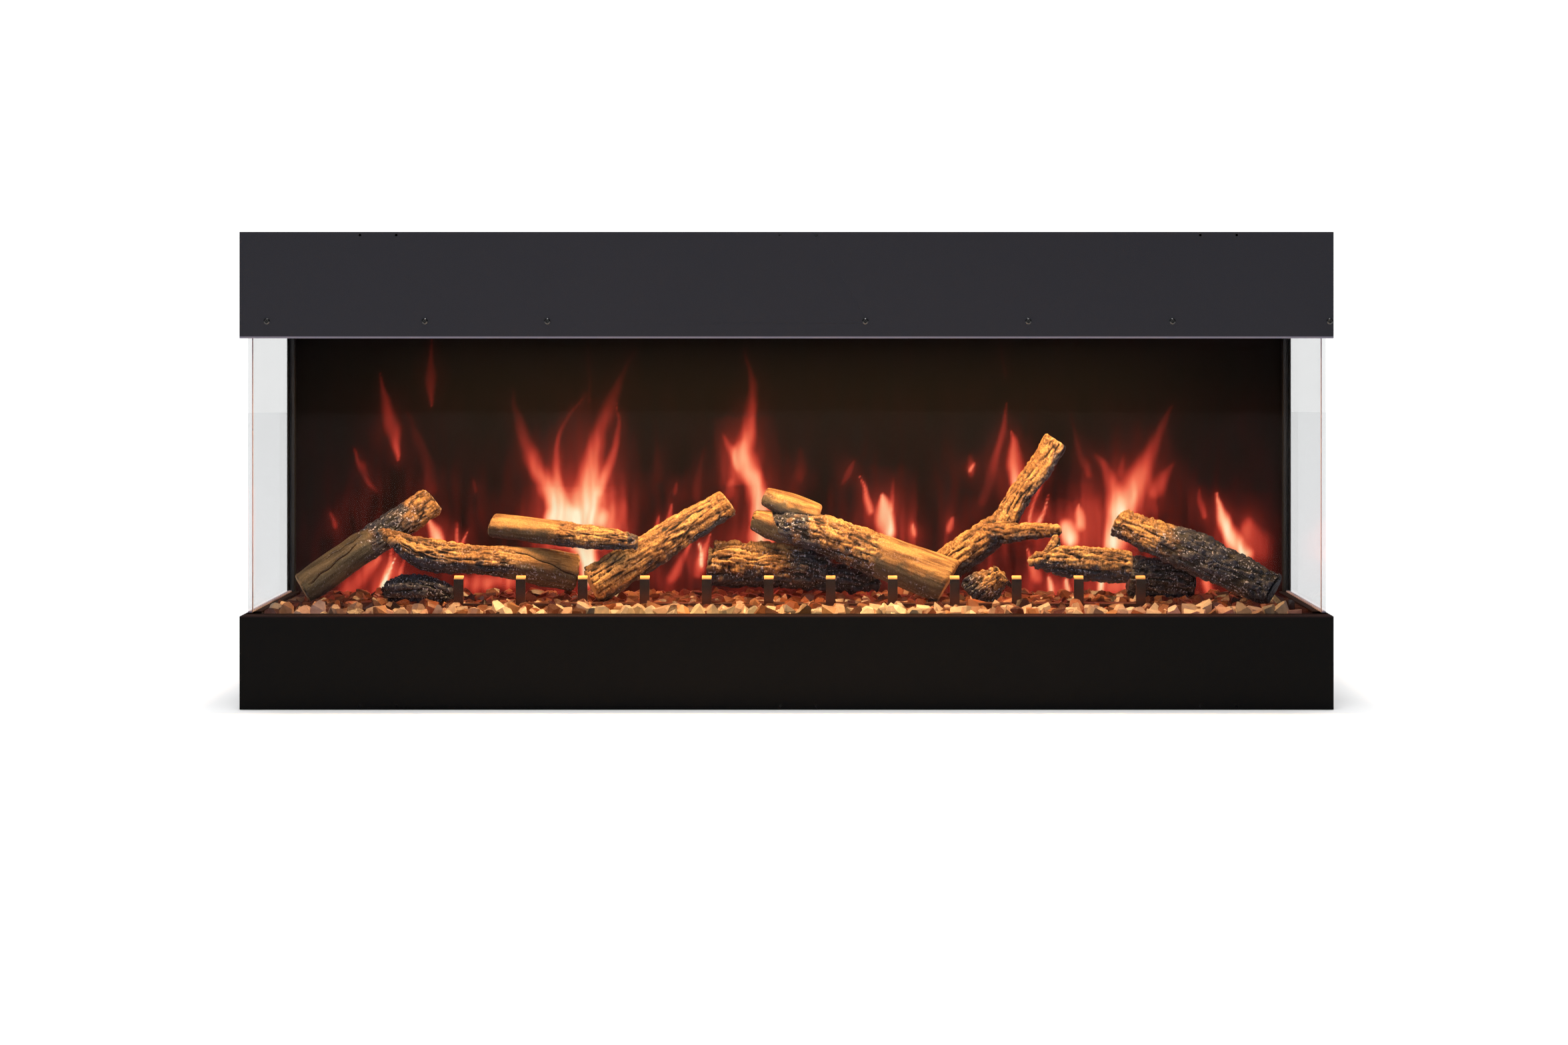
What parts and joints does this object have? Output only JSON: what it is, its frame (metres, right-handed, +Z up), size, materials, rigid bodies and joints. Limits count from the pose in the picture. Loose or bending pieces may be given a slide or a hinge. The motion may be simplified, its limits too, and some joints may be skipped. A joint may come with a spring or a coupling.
{
  "type": "electric fireplace",
  "caption": "Three-sided built-in linear electric fireplace: black head and base, glass front and sides, lit log set on coloured stones before a smoked flame screen.",
  "frame": {"origin": "bottom centre of the bounding box", "axes": "+X to the right, the front faces -Y, +Z up"},
  "size_m": [1.397, 0.369, 0.61],
  "materials": {
    "head_black": "fine-textured blue-black powder coat",
    "fascia_black": "matt black powder coat",
    "frame_black": "matt black",
    "galvanised": "spangled zinc-coated sheet",
    "bright_sheet": "mill finish",
    "bright_steel": "zinc plated",
    "screw_black": "black oxide",
    "clear_glass": "clear toughened glass",
    "clear_acrylic": "clear acrylic",
    "frosted_lens": "frosted acrylic",
    "black_rubber": "matt",
    "light_board": "white solder mask on aluminium",
    "fire_stones": "tumbled crystal and amber chips, lit from below",
    "grate_bronze": "dark bronze heat-proof paint",
    "log_bark": "painted bark and split wood, charred in places",
    "log_char": "painted charcoal with white ash",
    "smoked_screen": "smoked acrylic, diffusing, with the flame picture",
    "mirror_foil": "reflective film",
    "bearing_bronze": "sintered bronze",
    "motor_laminate": "varnished laminations",
    "heater_ceramic": "unglazed",
    "black_plastic": "fine grain",
    "red_plastic": "gloss",
    "grey_plastic": "satin",
    "circuit_green": "solder mask",
    "wire_sleeve": "braided sleeve"
  },
  "bodies": {
    "casing": {"base_pan": "galvanised", "lower_fascia": "fascia_black", "upper_fascia": "head_black", "top_cover": "galvanised", "back_panel": "galvanised", "rear_side_left": "frame_black", "rear_side_right": "frame_black", "side_channels": "frame_black", "front_glass": "clear_glass", "side_glass_left": "clear_glass", "side_glass_right": "clear_glass", "glass_seals": "black_rubber", "glass_track": "frame_black", "glass_shoe": "black_rubber", "outlet_grille": "frame_black", "fascia_screws": "screw_black", "firebox_ceiling": "frame_black", "canopy_lens": "frosted_lens", "canopy_light": "light_board", "media_tray": "clear_acrylic", "tray_rails": "galvanised", "media_bed": "fire_stones", "ember_light": "light_board", "log_grate": "grate_bronze", "log_left_long": "log_bark", "log_left_split": "log_bark", "log_char_left": "log_char", "log_top_left": "log_bark", "log_centre_left": "log_bark", "log_char_block": "log_char", "log_centre_right": "log_bark", "log_forked": "log_bark", "log_chip_right": "log_char", "log_bark_slab": "log_bark", "log_char_right": "log_char", "log_right_long": "log_char", "flame_screen": "smoked_screen", "flame_cutout": "bright_sheet", "rotor_brackets": "galvanised", "rotor_bushes": "bearing_bronze", "rotor_motor": "galvanised", "flame_light": "light_board", "heater_housing": "galvanised", "blower_motor": "motor_laminate", "heating_element": "heater_ceramic", "thermal_cutout": "black_plastic", "control_board": "circuit_green", "control_panel": "black_plastic", "junction_box": "galvanised", "junction_cover": "galvanised", "cable_gland": "black_plastic", "case_screws": "bright_steel", "wiring_harness": "wire_sleeve"},
    "flame_rotor": {"rotor_rod": "bright_steel", "rotor_blades": "mirror_foil", "rotor_coupling": "black_rubber"},
    "blower_rotor": {"blower_wheel": "bright_sheet"},
    "rocker": {"power_rocker": "red_plastic"},
    "heat_key": {"heat_button": "grey_plastic"},
    "flame_key": {"flame_button": "grey_plastic"}
  },
  "joints": [
    {"name": "rotor_spin", "type": "hinge", "parent": "casing", "child": "flame_rotor", "pos_m": [0, 0.14, 0.095], "axis": [1, 0, 0], "continuous": true},
    {"name": "blower_spin", "type": "hinge", "parent": "casing", "child": "blower_rotor", "pos_m": [0, -0.06, 0.548], "axis": [1, 0, 0], "continuous": true},
    {"name": "power_rock", "type": "hinge", "parent": "casing", "child": "rocker", "pos_m": [0.566, -0.165, 0.484], "axis": [0, -1, 0], "range_deg": [0, 16]},
    {"name": "heat_press", "type": "slide", "parent": "casing", "child": "heat_key", "axis": [0, 0, 1], "range_m": [0, 0.0012], "stiffness_N_per_m": 400, "springref_m": -0.001},
    {"name": "flame_press", "type": "slide", "parent": "casing", "child": "flame_key", "axis": [0, 0, 1], "range_m": [0, 0.0012], "stiffness_N_per_m": 400, "springref_m": -0.001}
  ]
}
